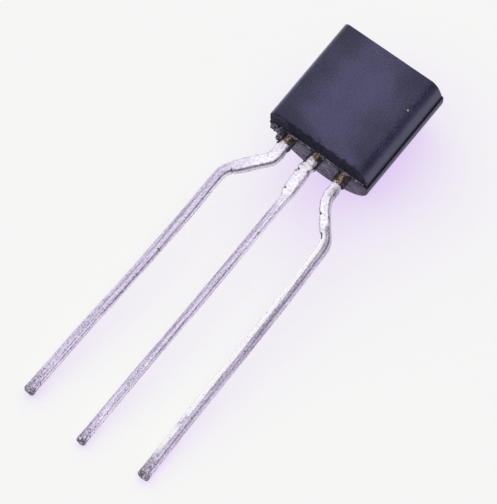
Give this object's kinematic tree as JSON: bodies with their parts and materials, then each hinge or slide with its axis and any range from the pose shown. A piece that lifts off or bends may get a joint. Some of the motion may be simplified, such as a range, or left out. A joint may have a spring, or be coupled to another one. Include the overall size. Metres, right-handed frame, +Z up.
{
  "type": "to-92 transistor",
  "caption": "Small transistor with a black moulded body that has one flat face and a round back, on straight tinned leads whose outer ones are formed outward.",
  "frame": {"origin": "on the surface the part lies on, under the middle of its bounding box", "axes": "+Z up, out of the surface it lies on; -Y toward the lead tips; +X toward the collector lead. The flat face looks up, tilted about 8 degrees toward the tips"},
  "size_m": [0.006, 0.0186, 0.0041],
  "materials": {
    "moulded_resin": "fine matt black epoxy moulding compound, straight from the mould",
    "tinned_lead": "dull tin plate over a copper-alloy lead frame, bare and brown at the roots",
    "silicon": "polished silicon",
    "silver_epoxy": "silver-filled adhesive",
    "bond_gold": "fine gold wire"
  },
  "bodies": {
    "root": {"body": "moulded_resin", "emitter_lead": "tinned_lead", "base_lead": "tinned_lead", "collector_lead": "tinned_lead", "chip": "silicon", "chip_attach": "silver_epoxy", "emitter_wire": "bond_gold", "base_wire": "bond_gold"}
  },
  "joints": []
}
